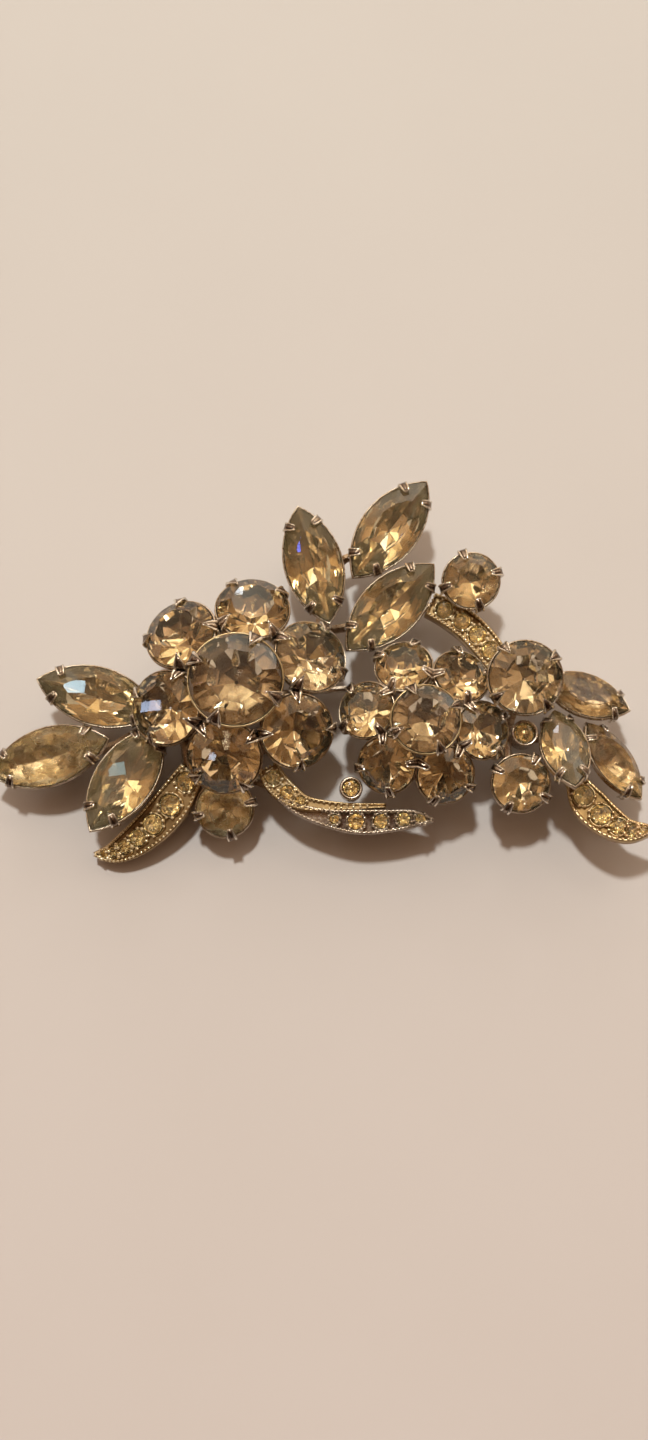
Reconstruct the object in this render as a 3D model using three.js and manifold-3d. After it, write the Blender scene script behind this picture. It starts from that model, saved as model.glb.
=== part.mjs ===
// A rhinestone spray brooch: two flowers of prong-set round stones, joined by leaves of navette stones and
// by curved pave bars, with a hinged pin and a rolling safety catch on the back.
// Millimetres, +Z up and away from the surface that it lies on, +X along the spray.
// The origin is the centre of its bounding box, on that surface.
import * as THREE from "three";
import { ConvexGeometry } from "three/addons/geometries/ConvexGeometry.js";
import { mergeVertices } from "three/addons/utils/BufferGeometryUtils.js";
import Module from "manifold-3d";

const wasm = await Module();
wasm.setup();

// ---- Driving dimensions -------------------------------------------------------------------------------------

// Stones: the trade sizes of round and navette stones.
const LARGE_ROUND = 11;
const MEDIUM_ROUND = 8.8;
const MIDDLE_ROUND = 8;
const SMALL_ROUND = 6.8;
const LARGE_NAVETTE = { length: 15, width: 7 };
const SMALL_NAVETTE = { length: 11, width: 5.5 };

// Cut of a stone, as shares of its width.
const CROWN_SHARE = 0.17;
const TABLE_INSET_SHARE = 0.22;
const PAVILION_SHARE = 0.38;
const GIRDLE = 0.2;

// Prong settings: a cup's wall, rim and floor, the post under a heart, and the prongs, whose root and bend are
// heights from the stone's girdle.
const SEAT_GAP = 0.06;
const WALL = 0.24;
const RIM_HEIGHT = 0.4;
const FLOOR = 0.45;
const FOOT_SHARE = 0.2;
const HEART_POST = { top: 1.3, bottom: 1.6 };
const PRONG_WIDTH_SHARE = 0.16;
const PRONG_ROOT = -1.3;
const PRONG_BEND = 0.65;
const PRONG_THICKNESS = 0.38;
const PRONG_REACH_SHARE = 0.13;

// Flowers: a ring of petals leaning outwards round a raised heart.
const PETALS = 6;
const PETAL_LEAN = 22;
const FRAME_THICKNESS = 1;
const FRAME_WIDTH = 1.6;
const FRAME_TOP = 5.4;
const SOLDER_GAP = 0.12;
const PETAL_POST = { radius: 1.1, height: 0.8 };
const LEFT_FLOWER = {
  x: -10.4, y: 0.7, ring: 9.4, first: 20, petal: MEDIUM_ROUND, petalZ: 9.5,
  heart: LARGE_ROUND, heartX: -0.1, heartY: -0.5, heartZ: 13.6, heartSpin: 20,
};
const RIGHT_FLOWER = {
  x: 12.2, y: -3.9, ring: 7.2, first: 50, petal: SMALL_ROUND, petalZ: 9,
  heart: MIDDLE_ROUND, heartX: -0.1, heartY: -0.5, heartZ: 12.4, heartSpin: -21,
};

// Wire stems, pave bars and collets.
const STEM_RADIUS = 0.6;
const STEM_SIDES = 6;
const BAR_THICKNESS = 1.9;
const BAR_RIM = 0.5;
const BAR_POCKET = 0.7;
const COLLET_WALL = 0.36;
const COLLET_RIM = 0.3;
const COLLET_SEAT = 1.3;

// Pin back: the pin's line and wire, and the plates that carry it.
const PIN_ANGLE = 4;
const PIN_Y = 1.2;
const PIN_Z = 1.8;
const PIN_RADIUS = 0.45;
const PIN_TAPER = 5;
const PIN_POINT = { length: 1.6, radius: 0.28 };
const HINGE_X = -15.5;
const CATCH_X = 12;
const PIN_END_X = 15.6;
const BASE_TOP = 4.35;
const BASE_THICKNESS = 0.7;
const BASE_WIDTH = 5;
const RUNNING_GAP = 0.08;

// Hinge: two ears, and a rivet through them and the pin's eye.
const HINGE_LENGTH = 5.4;
const EAR_GAP = 2;
const EAR_THICKNESS = 0.7;
const EAR_LENGTH = 3.4;
const EYE_RADIUS = 1.15;
const EYE_PLAY = 0.3;
const RIVET_RADIUS = 0.5;
const RIVET_HEAD = 0.4;

// Catch: a slotted barrel on a neck, and a slotted roller with a flange at each end and a thumb tab.
const CATCH_INSIDE = 1.35;
const CATCH_OUTSIDE = 1.93;
const CATCH_LENGTH = 3.6;
const CATCH_SLOT = 1.4;
const CATCH_NECK = { width: 2, height: 0.9 };
const ROLLER_INSIDE = 0.78;
const ROLLER_PLAY = 0.1;
const ROLLER_LENGTH = 5.2;
const ROLLER_SLOT = 1.15;
const ROLLER_FLANGE = 0.6;
const FLANGE_OVERHANG = 0.25;
const TAB = { from: 1.1, to: 2.3, thickness: 0.8, angle: 30 };

// ---- Materials ----------------------------------------------------------------------------------------------

const plate = new THREE.MeshStandardMaterial({ color: 0xc9b9a2, roughness: 0.22, metalness: 1 });
const steel = new THREE.MeshStandardMaterial({ color: 0xbdb8b2, roughness: 0.25, metalness: 1 });
const champagne = new THREE.MeshStandardMaterial({ color: 0xb9a58f, roughness: 0.05, metalness: 0 });
const pale = new THREE.MeshStandardMaterial({ color: 0xb8ab84, roughness: 0.05, metalness: 0 });
const golden = new THREE.MeshStandardMaterial({ color: 0xcfae62, roughness: 0.05, metalness: 0 });

// ---- Solids -------------------------------------------------------------------------------------------------

const rad = THREE.MathUtils.degToRad;

// A geometry, moved by a matrix, as a solid that can be cut and joined.
function solid(geometry, matrix = new THREE.Matrix4()) {
  const bare = geometry.clone().applyMatrix4(matrix);
  for (const name of Object.keys(bare.attributes)) if (name !== "position") bare.deleteAttribute(name);
  const merged = mergeVertices(bare, 1e-4);
  const count = merged.attributes.position.count;
  const triVerts = merged.index ? merged.index.array : Uint32Array.from({ length: count }, (_, i) => i);
  const mesh = { numProp: 3, vertProperties: merged.attributes.position.array, triVerts };
  return new wasm.Manifold(new wasm.Mesh(mesh));
}

// A solid back as a geometry that a mesh can hold.
function shell(made) {
  const { numProp, vertProperties, triVerts } = made.getMesh();
  const count = vertProperties.length / numProp;
  const positions = new Float32Array(count * 3);
  for (let i = 0; i < count; i++) positions.set(vertProperties.subarray(i * numProp, i * numProp + 3), i * 3);
  const geometry = new THREE.BufferGeometry();
  geometry.setAttribute("position", new THREE.BufferAttribute(positions, 3));
  geometry.setIndex(new THREE.BufferAttribute(triVerts, 1));
  geometry.computeVertexNormals();
  return geometry;
}

// A profile of [radius, height] points turned about Z.
function lathe(profile, sides) {
  const points = profile.map(([radius, height]) => new THREE.Vector2(radius, height));
  return new THREE.LatheGeometry(points, sides).rotateX(Math.PI / 2);
}

const join = (solids) => solids.reduce((all, one) => all.add(one));
const box = (x, y, z, at) => solid(new THREE.BoxGeometry(x, y, z), new THREE.Matrix4().makeTranslation(...at));

// A frame at a point, its Z leaning by lean degrees towards a heading, and turned by spin degrees about that Z.
function frame({ x, y, z, lean = 0, towards = 0, spin = 0 }) {
  const axis = new THREE.Vector3(-Math.sin(rad(towards)), Math.cos(rad(towards)), 0);
  const turn = new THREE.Quaternion().setFromAxisAngle(axis, rad(lean));
  turn.multiply(new THREE.Quaternion().setFromAxisAngle(new THREE.Vector3(0, 0, 1), rad(spin)));
  return new THREE.Matrix4().compose(new THREE.Vector3(x, y, z), turn, new THREE.Vector3(1, 1, 1));
}

function mesh(name, geometry, material, matrix = new THREE.Matrix4()) {
  const made = new THREE.Mesh(geometry, material);
  made.name = name;
  matrix.decompose(made.position, made.quaternion, made.scale);
  return made;
}

// ---- Stone outlines: each gives its points at a distance outside the stone, and its prong places ------------

function round(diameter) {
  const sides = diameter > MEDIUM_ROUND ? 16 : 12;
  const at = (radius, angle) => new THREE.Vector2(radius * Math.cos(angle), radius * Math.sin(angle));
  return {
    width: diameter,
    keel: 0,
    points: (out) => Array.from({ length: sides }, (_, i) => at(diameter / 2 + out, (i * 2 * Math.PI) / sides)),
    prongs: [45, 135, 225, 315].map((angle) => ({ at: at(diameter / 2, rad(angle)), angle: rad(angle) })),
  };
}

// Two arcs that meet at the tips.
function navette({ length, width }) {
  const arc = (length ** 2 + width ** 2) / (4 * width);
  const offset = arc - width / 2;
  const steps = 6;
  const prongTurn = 0.66;
  const side = (radius, sign) => {
    const half = Math.acos(offset / radius);
    return Array.from({ length: steps }, (_, i) => {
      const turn = half - (2 * half * i) / steps;
      return new THREE.Vector2(sign * radius * Math.sin(turn), sign * (radius * Math.cos(turn) - offset));
    });
  };
  const half = Math.acos(offset / arc);
  const prongs = [];
  for (const sign of [1, -1])
    for (const share of [prongTurn, -prongTurn]) {
      const turn = half * share;
      const at = new THREE.Vector2(sign * arc * Math.sin(turn), sign * (arc * Math.cos(turn) - offset));
      prongs.push({ at, angle: Math.atan2(sign * Math.cos(turn), sign * Math.sin(turn)) });
    }
  return {
    width,
    keel: (length - width) * 0.36,
    points: (out) => [...side(arc + out, 1), ...side(arc + out, -1)],
    prongs,
  };
}

const ring = (points, z) => points.map((p) => new THREE.Vector3(p.x, p.y, z));

// A pointed-back stone, its girdle at Z 0: table, crown, girdle and pavilion.
function stone(outline) {
  const { width } = outline;
  const table = outline.points(-width * TABLE_INSET_SHARE).filter((_, i) => i % 2 === 0);
  const culet = [-outline.keel, outline.keel].map((x) => new THREE.Vector3(x, 0, -width * PAVILION_SHARE));
  return new ConvexGeometry([
    ...ring(table, width * CROWN_SHARE),
    ...ring(outline.points(0), GIRDLE / 2),
    ...ring(outline.points(0), -GIRDLE / 2),
    ...(outline.keel ? culet : [culet[0]]),
  ]);
}

const cupDepth = (outline) => outline.width * PAVILION_SHARE + FLOOR;

// A claw that stands on the cup's wall and bends over the crown.
function prong(outline, { at, angle }) {
  const slope = CROWN_SHARE / TABLE_INSET_SHARE;
  const reach = PRONG_REACH_SHARE * outline.width;
  const under = GIRDLE / 2 + slope * reach + 0.2;
  const front = 2 * SEAT_GAP;
  const back = SEAT_GAP + WALL + 0.1;
  const outer = [[front, PRONG_ROOT], [back, PRONG_ROOT], [back, PRONG_BEND]];
  const tip = [[-reach, under + PRONG_THICKNESS], [-reach, under]];
  const corners = [...outer, ...tip, [front, PRONG_BEND / 2]];
  const profile = new THREE.Shape(corners.map(([out, height]) => new THREE.Vector2(out, height)));
  const width = PRONG_WIDTH_SHARE * outline.width;
  const made = new THREE.ExtrudeGeometry(profile, { depth: width, bevelEnabled: false });
  made.translate(0, 0, -width / 2).rotateX(Math.PI / 2);
  const place = new THREE.Matrix4().makeRotationZ(angle).setPosition(at.x, at.y, 0);
  return solid(made, place);
}

// The metal cup that holds a stone, its rim at the girdle, on a foot of the given length.
function setting(outline, foot = 0) {
  const depth = cupDepth(outline);
  const narrow = -outline.width * (0.5 - FOOT_SHARE);
  const outer = new ConvexGeometry([
    ...ring(outline.points(SEAT_GAP + WALL), GIRDLE / 2),
    ...ring(outline.points(SEAT_GAP + WALL), -RIM_HEIGHT),
    ...ring(outline.points(narrow + WALL), -depth),
  ]);
  const inner = new ConvexGeometry([
    ...ring(outline.points(SEAT_GAP), 1),
    ...ring(outline.points(SEAT_GAP), -GIRDLE),
    ...ring(outline.points(narrow - WALL), -depth + FLOOR - SEAT_GAP),
  ]);
  const parts = [solid(outer).subtract(solid(inner)), ...outline.prongs.map((p) => prong(outline, p))];
  if (foot) {
    const sunk = FLOOR / 2;
    const { top, bottom } = HEART_POST;
    parts.push(solid(lathe([[0, -foot], [bottom, -foot], [top, sunk], [0, sunk]], 12)).translate(0, 0, -depth));
  }
  return join(parts);
}

// ---- Assembly -----------------------------------------------------------------------------------------------

const brooch = new THREE.Group();

function setStone(name, outline, place, material) {
  brooch.add(mesh(`${name}_stone`, stone(outline), material, place));
}

function setPair(name, outline, place, material, foot = 0) {
  setStone(name, outline, place, material);
  brooch.add(mesh(`${name}_setting`, shell(setting(outline, foot)), plate, place));
}

// Petal places: round the flower's centre, each leaning outwards.
function petalFrames(flower) {
  return Array.from({ length: PETALS }, (_, i) => {
    const heading = flower.first + (i * 360) / PETALS;
    const x = flower.x + flower.ring * Math.cos(rad(heading));
    const y = flower.y + flower.ring * Math.sin(rad(heading));
    return frame({ x, y, z: flower.petalZ, lean: PETAL_LEAN, towards: heading, spin: heading });
  });
}

// The back frame: a flat ring and three spokes, with the six petal cups soldered on.
function flowerFrame(flower) {
  const petal = round(flower.petal);
  const depth = cupDepth(petal);
  const radius = flower.ring - depth * Math.sin(rad(PETAL_LEAN));
  const [inside, outside] = [radius - FRAME_WIDTH / 2, radius + FRAME_WIDTH / 2];
  const bottom = FRAME_TOP - FRAME_THICKNESS;
  const corners = [[inside, bottom], [outside, bottom], [outside, FRAME_TOP], [inside, FRAME_TOP]];
  const centre = new THREE.Matrix4().makeTranslation(flower.x, flower.y, 0);
  const parts = [solid(lathe([...corners, corners[0]], 18), centre)];
  for (let i = 0; i < PETALS / 2; i++) {
    const turned = new THREE.Matrix4().makeRotationZ(rad(flower.first + (i * 360) / PETALS));
    const bar = new THREE.BoxGeometry(2 * radius, FRAME_WIDTH, FRAME_THICKNESS);
    bar.translate(0, 0, bottom + FRAME_THICKNESS / 2);
    parts.push(solid(bar, turned.premultiply(centre)));
  }
  const cup = shell(setting(petal));
  const { radius: postRadius, height: postHeight } = PETAL_POST;
  const post = new THREE.CylinderGeometry(postRadius, postRadius, postHeight, 6).rotateX(Math.PI / 2);
  for (const place of petalFrames(flower)) {
    const foot = new THREE.Vector3(0, 0, -depth).applyMatrix4(place);
    const under = new THREE.Matrix4().makeTranslation(foot.x, foot.y, FRAME_TOP - 0.1 + postHeight / 2);
    parts.push(solid(cup, place), solid(post, under));
  }
  return join(parts);
}

const petalNames = {
  left: ["east", "north", "north_west", "west", "south", "south_east"],
  right: ["north_east", "north", "west", "south_west", "south", "east"],
};

for (const [side, flower] of [["left", LEFT_FLOWER], ["right", RIGHT_FLOWER]]) {
  brooch.add(mesh(`${side}_flower_frame`, shell(flowerFrame(flower)), plate));
  petalFrames(flower).forEach((place, i) =>
    setStone(`${side}_petal_${petalNames[side][i]}`, round(flower.petal), place, champagne));
  const heart = round(flower.heart);
  const [x, y] = [flower.x + flower.heartX, flower.y + flower.heartY];
  const at = { x, y, z: flower.heartZ, spin: flower.heartSpin };
  const foot = flower.heartZ - cupDepth(heart) - FRAME_TOP - SOLDER_GAP;
  setPair(`${side}_heart`, heart, frame(at), champagne, foot);
}

// Leaves: a place, a heading for the long axis (spin), and a lean.
const LEAVES = {
  upper_left_leaf: { size: LARGE_NAVETTE, x: -28.1, y: -0.4, z: 6.2, spin: 165, lean: 6, towards: 345 },
  outer_left_leaf: { size: LARGE_NAVETTE, x: -34, y: -7.9, z: 5.8, spin: 196, lean: 4, towards: 196 },
  lower_left_leaf: { size: LARGE_NAVETTE, x: -24.4, y: -10.6, z: 6.2, spin: 239, lean: 6, towards: 59 },
  upper_leaf: { size: LARGE_NAVETTE, x: -1.3, y: 16.2, z: 7.3, spin: 105, lean: 5, towards: 270 },
  outer_upper_leaf: { size: LARGE_NAVETTE, x: 8.3, y: 20.6, z: 8, spin: 53, lean: 8, towards: 300 },
  lower_upper_leaf: { size: LARGE_NAVETTE, x: 8.3, y: 10.7, z: 7.5, spin: 45, lean: 6, towards: 300 },
  upper_right_leaf: { size: SMALL_NAVETTE, x: 32.5, y: -0.2, z: 6.4, spin: -20, lean: 14, towards: 70 },
  middle_right_leaf: { size: SMALL_NAVETTE, x: 29.3, y: -7.1, z: 8.2, spin: -83, lean: 26, towards: 95 },
  lower_right_leaf: { size: SMALL_NAVETTE, x: 35.8, y: -8.4, z: 5.9, spin: -55, lean: 26, towards: 30 },
};

// Single round stones outside the flowers.
const ROUNDS = {
  lower_left_round: { size: SMALL_ROUND, x: -12.2, y: -14.3, z: 5.2, spin: -31, lean: 10, towards: 270 },
  upper_right_round: { size: SMALL_ROUND, x: 18.3, y: 13.8, z: 8.4, spin: -29, lean: 6, towards: 240 },
  large_right_round: { size: MEDIUM_ROUND, x: 24.4, y: 1.1, z: 10.3, spin: -10, lean: 4, towards: 270 },
  lower_right_round: { size: SMALL_ROUND, x: 23.9, y: -11.5, z: 7.8, spin: 15, lean: 8, towards: 270 },
};

for (const [name, { size, ...place }] of Object.entries(LEAVES)) {
  setPair(name, navette(size), frame(place), pale);
}
for (const [name, { size, ...place }] of Object.entries(ROUNDS)) {
  const outline = round(size);
  // The south petal stands where the lowest bud's second prong would be.
  if (name === "lower_left_round") outline.prongs.splice(1, 1);
  setPair(name, outline, frame(place), champagne);
}

// Small stones in plain collets.
function collet(diameter, height) {
  const seat = diameter / 2 + SEAT_GAP;
  const outside = seat + COLLET_WALL;
  const wall = [[0, -height], [outside - 0.2, -height], [outside, -height / 4], [outside, COLLET_RIM]];
  const pocket = [[seat, COLLET_RIM], [seat, -COLLET_SEAT], [0, -COLLET_SEAT]];
  return lathe([...wall, ...pocket], 12);
}

const COLLETS = {
  lower_collet: { diameter: 2, height: 2.6, x: 3.3, y: -12, z: 6.9 },
  right_collet: { diameter: 2.5, height: 3, x: 24.65, y: -5.2, z: 6.9 },
};

for (const [name, { diameter, height, ...at }] of Object.entries(COLLETS)) {
  brooch.add(mesh(`${name}_stone`, stone(round(diameter)), golden, frame(at)));
  brooch.add(mesh(`${name}_setting`, shell(solid(collet(diameter, height))), plate, frame(at)));
}

// ---- Pave bars ----------------------------------------------------------------------------------------------

// A flat leaf along a smooth line, which is given as points with the leaf's width at each.
function leafShape(line, inset = 0) {
  const path = new THREE.SplineCurve(line.map(([x, y]) => new THREE.Vector2(x, y)));
  const widths = new THREE.SplineCurve(line.map(([, , width], i) => new THREE.Vector2(i, width)));
  const steps = 3 * (line.length - 1);
  const sides = [[], []];
  for (let i = 0; i <= steps; i++) {
    const t = inset ? 0.04 + (0.88 * i) / steps : i / steps;
    const half = Math.max(widths.getPoint(t).y / 2 - inset, 0.12);
    const at = path.getPoint(t);
    const heading = path.getTangent(t);
    const side = new THREE.Vector2(-heading.y, heading.x).multiplyScalar(half);
    sides[0].push(at.clone().add(side));
    sides[1].unshift(at.clone().sub(side));
  }
  return new THREE.Shape([...sides[0], ...sides[1]]);
}

// A bar from one or two such leaves, each with a pocket for its stones, laid at its height and lean.
function paveBar({ lines, z, lean, towards }) {
  const [x, y] = lines[0][0];
  const slab = (shape, depth) => solid(new THREE.ExtrudeGeometry(shape, { depth, bevelEnabled: false }));
  const bodies = lines.map((line) => slab(leafShape(line), BAR_THICKNESS));
  const pockets = lines.map((line) =>
    slab(leafShape(line, BAR_RIM), 2 * BAR_POCKET).translate(0, 0, BAR_THICKNESS - BAR_POCKET));
  const flat = join(bodies).subtract(join(pockets)).translate(-x, -y, -BAR_THICKNESS);
  return { geometry: shell(flat), place: frame({ x, y, z, lean, towards }) };
}

// Each leaf of a bar as [x, y, width] along its middle. z is its top at the first point; it dips towards
// its heading from there, so one that heads back to the flower rises towards its tip.
const BARS = {
  lower_left_pave_bar: {
    z: 5.6, lean: 13.1, towards: 222,
    lines: [
      [[-16.3, -9.7, 3.4], [-18.9, -13.6, 4.7], [-22.4, -17.2, 4.4], [-26.1, -19.6, 3], [-29.1, -20, 0.5]],
    ],
  },
  lower_pave_bar: {
    z: 6.2, lean: 0, towards: 0,
    lines: [
      [[-6.9, -9.2, 2.7], [-5.9, -11.1, 3], [-4.2, -12.7, 2.7], [-1.9, -13.8, 1.8], [2.6, -14.1, 0.9],
        [7.6, -14, 0.5]],
      [[-5.6, -13.1, 0.6], [-2.8, -14.6, 1.5], [0.7, -15.6, 2.3], [4.1, -16, 3], [7.7, -15.9, 2.8],
        [11, -15.6, 2.1], [13.4, -15.8, 0.5]],
    ],
  },
  upper_pave_bar: {
    z: 5.8, lean: 0, towards: 0,
    lines: [
      [[13.4, 11.6, 3.1], [15.9, 10.3, 3.5], [18.3, 8.5, 3.7], [20.2, 6.4, 3.7], [21.9, 4, 3.4]],
    ],
  },
  lower_right_pave_bar: {
    z: 5.8, lean: 14, towards: 150,
    lines: [
      [[30.9, -10.9, 2.6], [32.2, -13.5, 4.2], [34.3, -15.8, 4], [36.6, -17.2, 3], [38.8, -17.3, 1.7],
        [40.2, -17.1, 0.5]],
    ],
  },
};

for (const [name, bar] of Object.entries(BARS)) {
  const { geometry, place } = paveBar(bar);
  brooch.add(mesh(name, geometry, plate, place));
}

// ---- Stems: wires that carry the settings outside the flowers -----------------------------------------------

function wire(points) {
  const curve = new THREE.CatmullRomCurve3(points.map((p) => new THREE.Vector3(...p)));
  const circle = new THREE.Shape().absarc(0, 0, STEM_RADIUS, 0, 2 * Math.PI);
  const options = { steps: 2 * (points.length - 1), curveSegments: STEM_SIDES / 2, extrudePath: curve };
  return solid(new THREE.ExtrudeGeometry(circle, options));
}

const STEMS = {
  left_leaf_stem: [
    [[-19.2, -2.2, 3.7], [-22, -3.4, 2.9], [-27, -6.2, 1.9], [-34, -8, 1.5]],
    [[-20.5, -2.8, 3.35], [-24, -2, 2], [-28.5, -0.6, 1.5]],
    [[-20.5, -2.8, 3.35], [-22.8, -6, 2.4], [-24.7, -11, 1.7]],
    [[-19.2, -2.2, 3.7], [-17.6, -5.4, 3.5], [-14.4, -9, 3.2], [-8, -10.8, 3.5], [-4, -12.5, 3.6]],
    [[-17.6, -5.4, 3.5], [-17.2, -9, 2.8], [-19.2, -13.4, 1.3]],
  ],
  upper_leaf_stem: [
    [[-3.2, 3.4, 3.75], [-1, 7.5, 3.4], [-0.4, 12, 3.1], [-1.3, 16, 3.1]],
    [[-0.4, 13.4, 3.1], [0.9, 16.2, 3.5], [2.7, 17.9, 4.1], [4.8, 18.7, 3.95], [8, 20.2, 3.95]],
    [[-0.8, 8.6, 3.3], [3.6, 9.1, 3.5], [9, 10.8, 3.5], [14, 11.8, 3.2], [18.2, 13.4, 3.4]],
  ],
  right_spray_stem: [
    [[18.1, -4.2, 3.75], [21, -4.9, 3.5], [25, -5.2, 3.2], [30, -5.6, 2.8], [35.2, -8.4, 2.6]],
    [[23, -5.1, 3.4], [23.8, -2, 3.2], [25.5, 0.8, 3.2], [32.8, -0.6, 2.9]],
    [[23, -5.1, 3.4], [23, -8.6, 3.2], [23.8, -11.4, 3.2]],
    [[27.5, -5.3, 3], [29.5, -8.8, 2.7], [31.4, -12, 2.6]],
  ],
};

for (const [name, branches] of Object.entries(STEMS)) {
  brooch.add(mesh(name, shell(join(branches.map(wire))), plate));
}

// ---- Pin back: hinge, pin and rolling catch, along one line -------------------------------------------------

// Parts below are drawn with the pin along X, its axis at Y 0, Z 0.
const back = new THREE.Group();
back.position.set(0, PIN_Y, PIN_Z);
back.rotation.z = rad(PIN_ANGLE);
brooch.add(back);

const baseZ = BASE_TOP - PIN_Z - BASE_THICKNESS / 2;

// The hole for the rivet, in the ears and in the pin's eye.
function rivetHole() {
  const radius = RIVET_RADIUS + RUNNING_GAP;
  return solid(new THREE.CylinderGeometry(radius, radius, 2 * BASE_WIDTH, 12));
}

function hingeBracket() {
  const earHeight = BASE_TOP - BASE_THICKNESS / 2;
  const parts = [box(HINGE_LENGTH, BASE_WIDTH, BASE_THICKNESS, [HINGE_X, 0, baseZ])];
  for (const side of [1, -1]) {
    const y = side * (EAR_GAP / 2 + EAR_THICKNESS / 2);
    parts.push(box(EAR_LENGTH, EAR_THICKNESS, earHeight, [HINGE_X, y, earHeight / 2 - PIN_Z]));
  }
  return join(parts).subtract(rivetHole().translate(HINGE_X, 0, 0));
}

function hingeRivet() {
  const reach = EAR_GAP / 2 + EAR_THICKNESS + RUNNING_GAP;
  const head = RIVET_RADIUS + RIVET_HEAD;
  const half = [[RIVET_RADIUS, reach], [head, reach], [head, reach + 0.3], [0, reach + RIVET_HEAD]];
  const otherHalf = half.map(([radius, y]) => [radius, -y]).reverse();
  return solid(lathe([...otherHalf, ...half], 12).rotateX(-Math.PI / 2)).translate(HINGE_X, 0, 0);
}

function pinStem() {
  const eye = new THREE.CylinderGeometry(EYE_RADIUS, EYE_RADIUS, EAR_GAP - EYE_PLAY, 16);
  const root = (RIVET_RADIUS + EYE_RADIUS) / 2;
  const length = PIN_END_X - HINGE_X;
  const point = [PIN_POINT.radius, length - PIN_POINT.length];
  const profile = [[0, root], [PIN_RADIUS, root], [PIN_RADIUS, length - PIN_TAPER], point, [0, length]];
  const alongX = lathe(profile, 8).rotateY(Math.PI / 2);
  return join([solid(eye), solid(alongX)]).subtract(rivetHole()).translate(HINGE_X, 0, 0);
}

// A ring section with a slot that opens downwards (towards -Z), drawn in Y and Z.
function slottedRing(inside, outside, slot, length) {
  const inner = Math.asin(slot / 2 / inside);
  const outer = Math.asin(slot / 2 / outside);
  const down = -Math.PI / 2;
  const shape = new THREE.Shape();
  shape.absarc(0, 0, outside, down + outer, down - outer + 2 * Math.PI, false);
  shape.absarc(0, 0, inside, down - inner + 2 * Math.PI, down + inner, true);
  const made = new THREE.ExtrudeGeometry(shape, { depth: length, bevelEnabled: false, curveSegments: 10 });
  return made.translate(0, 0, -length / 2).rotateX(Math.PI / 2).rotateZ(Math.PI / 2);
}

function catchHousing() {
  const { width, height } = CATCH_NECK;
  const barrel = solid(slottedRing(CATCH_INSIDE, CATCH_OUTSIDE, CATCH_SLOT, CATCH_LENGTH));
  const foot = box(CATCH_LENGTH, BASE_WIDTH, BASE_THICKNESS, [0, 0, baseZ]);
  const neck = box(CATCH_LENGTH, width, height, [0, 0, baseZ - height / 2]);
  const bore = new THREE.CylinderGeometry(CATCH_INSIDE, CATCH_INSIDE, 2 * CATCH_LENGTH, 20);
  bore.rotateZ(Math.PI / 2);
  return join([barrel, foot, neck]).subtract(solid(bore)).translate(CATCH_X, 0, 0);
}

function catchRoller() {
  const flangeX = (ROLLER_LENGTH - ROLLER_FLANGE) / 2;
  const parts = [solid(slottedRing(ROLLER_INSIDE, CATCH_INSIDE - ROLLER_PLAY, ROLLER_SLOT, ROLLER_LENGTH))];
  for (const x of [flangeX, -flangeX]) {
    const flange = slottedRing(ROLLER_INSIDE, CATCH_INSIDE + FLANGE_OVERHANG, ROLLER_SLOT, ROLLER_FLANGE);
    parts.push(solid(flange.translate(x, 0, 0)));
  }
  const tab = new THREE.BoxGeometry(ROLLER_FLANGE, TAB.to - TAB.from, TAB.thickness);
  tab.translate(0, -(TAB.from + TAB.to) / 2, 0).rotateX(rad(TAB.angle)).translate(flangeX, 0, 0);
  parts.push(solid(tab));
  return join(parts).translate(CATCH_X, 0, 0);
}

back.add(mesh("hinge_bracket", shell(hingeBracket()), plate));
back.add(mesh("hinge_rivet", shell(hingeRivet()), steel));
back.add(mesh("pin_stem", shell(pinStem()), steel));
back.add(mesh("catch_housing", shell(catchHousing()), plate));
back.add(mesh("catch_roller", shell(catchRoller()), steel));

// ---- Origin: the centre of the bounding box, on the surface below -------------------------------------------

const bounds = new THREE.Box3().setFromObject(brooch, true);
const middle = bounds.getCenter(new THREE.Vector3());
brooch.position.set(-middle.x, -middle.y, -bounds.min.z);

export default brooch;
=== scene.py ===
# A rhinestone spray brooch on pale paper: faceted foil-backed stones in claw settings, beaded leaves of
# small stones and a pin back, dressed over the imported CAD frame.
# Sizes and places are millimetres, in the layout that the CAD part uses, and driving angles are degrees.
import math
import random
from collections import namedtuple

import bmesh
import bpy
from mathutils import Matrix, Quaternion, Vector


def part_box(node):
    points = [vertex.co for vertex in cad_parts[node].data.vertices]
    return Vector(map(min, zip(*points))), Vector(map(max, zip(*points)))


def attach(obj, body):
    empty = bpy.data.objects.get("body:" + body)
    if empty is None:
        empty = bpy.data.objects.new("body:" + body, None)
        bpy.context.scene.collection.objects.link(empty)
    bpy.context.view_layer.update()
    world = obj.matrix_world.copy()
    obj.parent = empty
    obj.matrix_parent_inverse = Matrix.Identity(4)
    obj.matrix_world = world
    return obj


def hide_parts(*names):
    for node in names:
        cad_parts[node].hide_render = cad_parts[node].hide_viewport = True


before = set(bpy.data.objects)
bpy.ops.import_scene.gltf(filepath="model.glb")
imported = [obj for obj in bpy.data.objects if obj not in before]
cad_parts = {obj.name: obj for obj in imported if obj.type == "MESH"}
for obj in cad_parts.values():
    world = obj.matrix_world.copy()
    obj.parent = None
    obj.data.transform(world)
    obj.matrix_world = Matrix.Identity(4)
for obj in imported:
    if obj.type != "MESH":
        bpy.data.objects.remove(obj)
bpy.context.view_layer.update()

MM = 0.001
random.seed(7)

# ---- Driving dimensions ----

# Stones: the diameters of round ones, and the length and width of navettes.
LARGE_ROUND = 11
MEDIUM_ROUND = 8.8
MIDDLE_ROUND = 8
SMALL_ROUND = 6.8
LARGE_NAVETTE = (15, 7)
SMALL_NAVETTE = (11, 5.5)

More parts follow.
